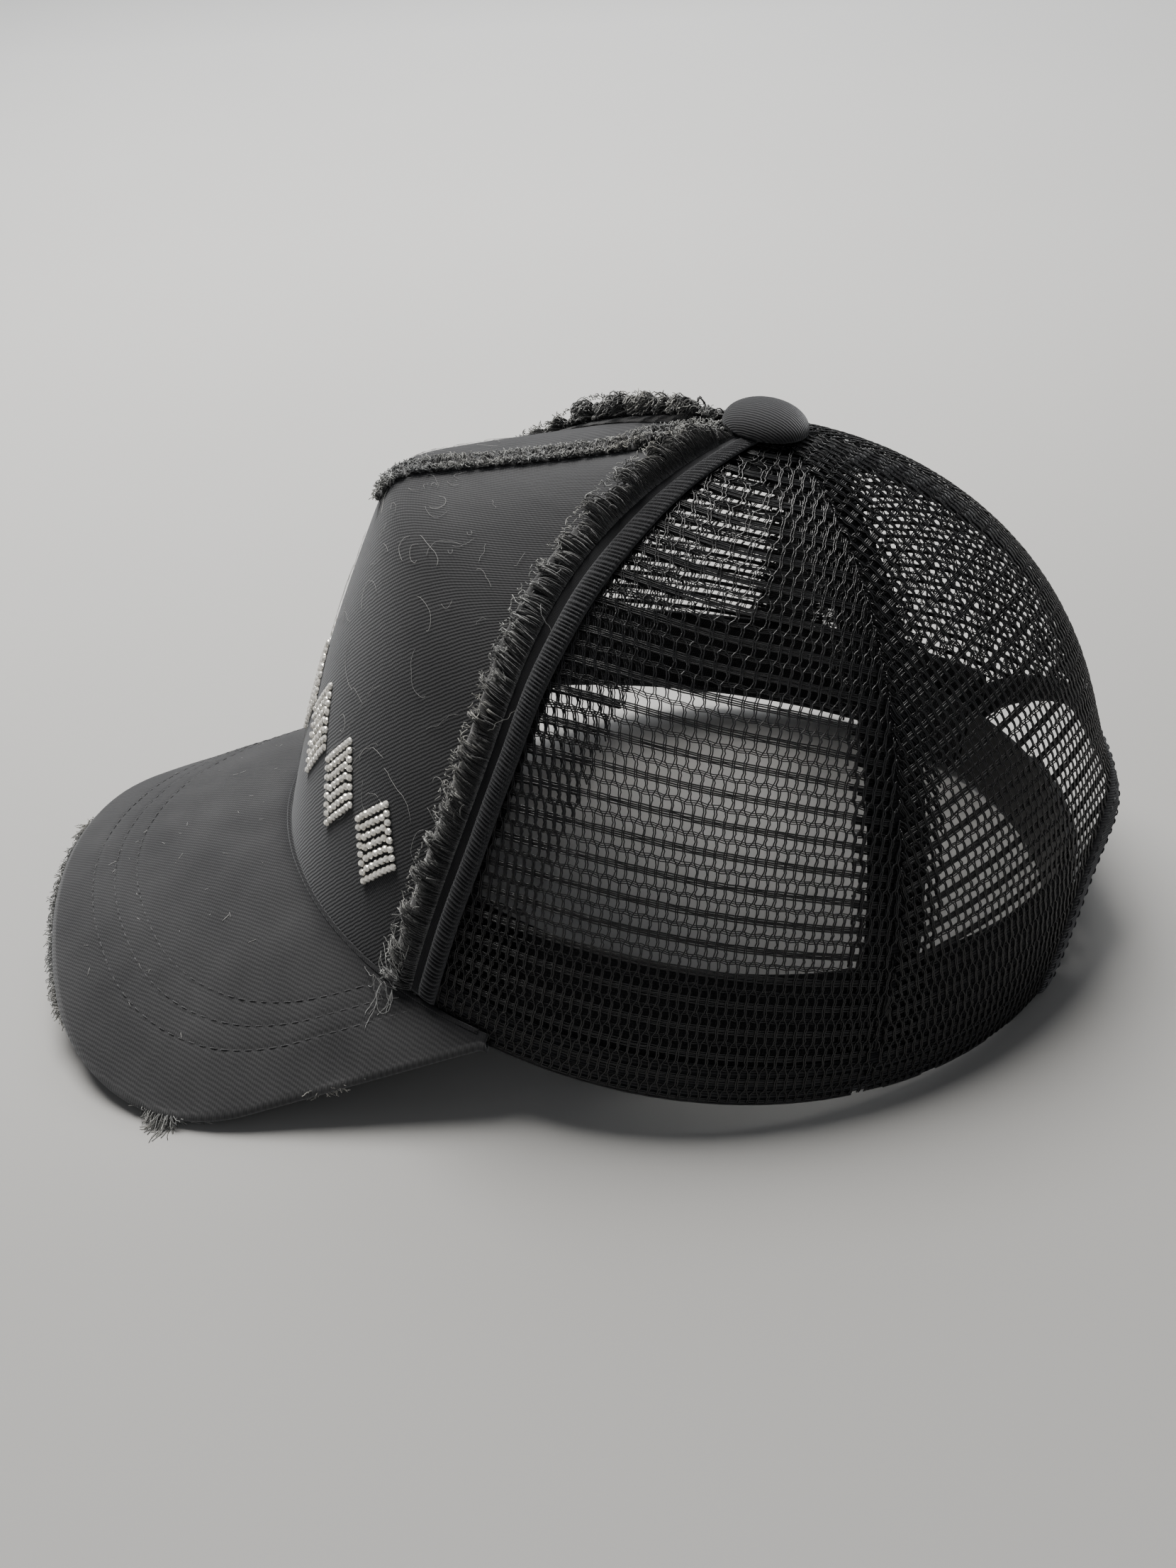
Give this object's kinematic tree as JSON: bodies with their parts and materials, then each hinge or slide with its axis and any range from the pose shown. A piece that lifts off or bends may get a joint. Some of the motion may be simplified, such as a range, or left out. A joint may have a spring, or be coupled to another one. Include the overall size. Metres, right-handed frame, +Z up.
{
  "type": "trucker cap",
  "caption": "Trucker cap with a structured twill front, netting sides and back, frayed seam trims, a curved brim and a snap strap over an arched back opening.",
  "frame": {"origin": "middle of the cap's bounding box, on the surface it stands on", "axes": "+Z up, -Y the way the brim points, +X the wearer's left; the cap stands on its brim and the rear of its hem"},
  "size_m": [0.1742, 0.263, 0.1323],
  "materials": {
    "twill": "washed black cotton twill",
    "netting": "black warp-knitted polyester netting",
    "fringe": "frayed black yarn with washed grey ends",
    "piping": "black ribbed tape",
    "buckram": "stiffened open mesh",
    "tape": "black woven tape",
    "sweatband": "black brushed cotton",
    "board": "moulded brim board",
    "stones": "flat-backed cut stones",
    "strap": "black soft plastic",
    "metal": "pressed steel"
  },
  "bodies": {
    "crown": {"front_panel": "twill", "button_cap": "twill", "brim_cover_top": "twill", "brim_cover_under": "twill", "strap_tab_left": "twill", "strap_tab_right": "twill", "mesh_side_left": "netting", "mesh_side_right": "netting", "mesh_back_left": "netting", "mesh_back_right": "netting", "fray_trim_left": "fringe", "fray_trim_right": "fringe", "fray_trim_centre": "fringe", "piping_left": "piping", "piping_right": "piping", "front_buckram": "buckram", "seam_tape_front_left": "tape", "seam_tape_front_right": "tape", "seam_tape_side_left": "tape", "seam_tape_side_right": "tape", "seam_tape_back": "tape", "arch_binding": "tape", "sweatband": "sweatband", "brim_board": "board", "front_studs": "stones", "button_shell": "metal", "button_back": "metal", "button_prong": "metal"},
    "strap_outer": {"strap_holes": "strap"},
    "strap_inner": {"strap_studs": "strap"}
  },
  "joints": [
    {"name": "outer_strap_swing", "type": "hinge", "parent": "crown", "child": "strap_outer", "pos_m": [0.0397, 0.11167, 0.01193], "axis": [0, -0.159, -0.9873], "range_deg": [0, 40]},
    {"name": "inner_strap_swing", "type": "hinge", "parent": "crown", "child": "strap_inner", "pos_m": [-0.03881, 0.11036, 0.01214], "axis": [0, -0.159, -0.9873], "range_deg": [0, 40]}
  ]
}
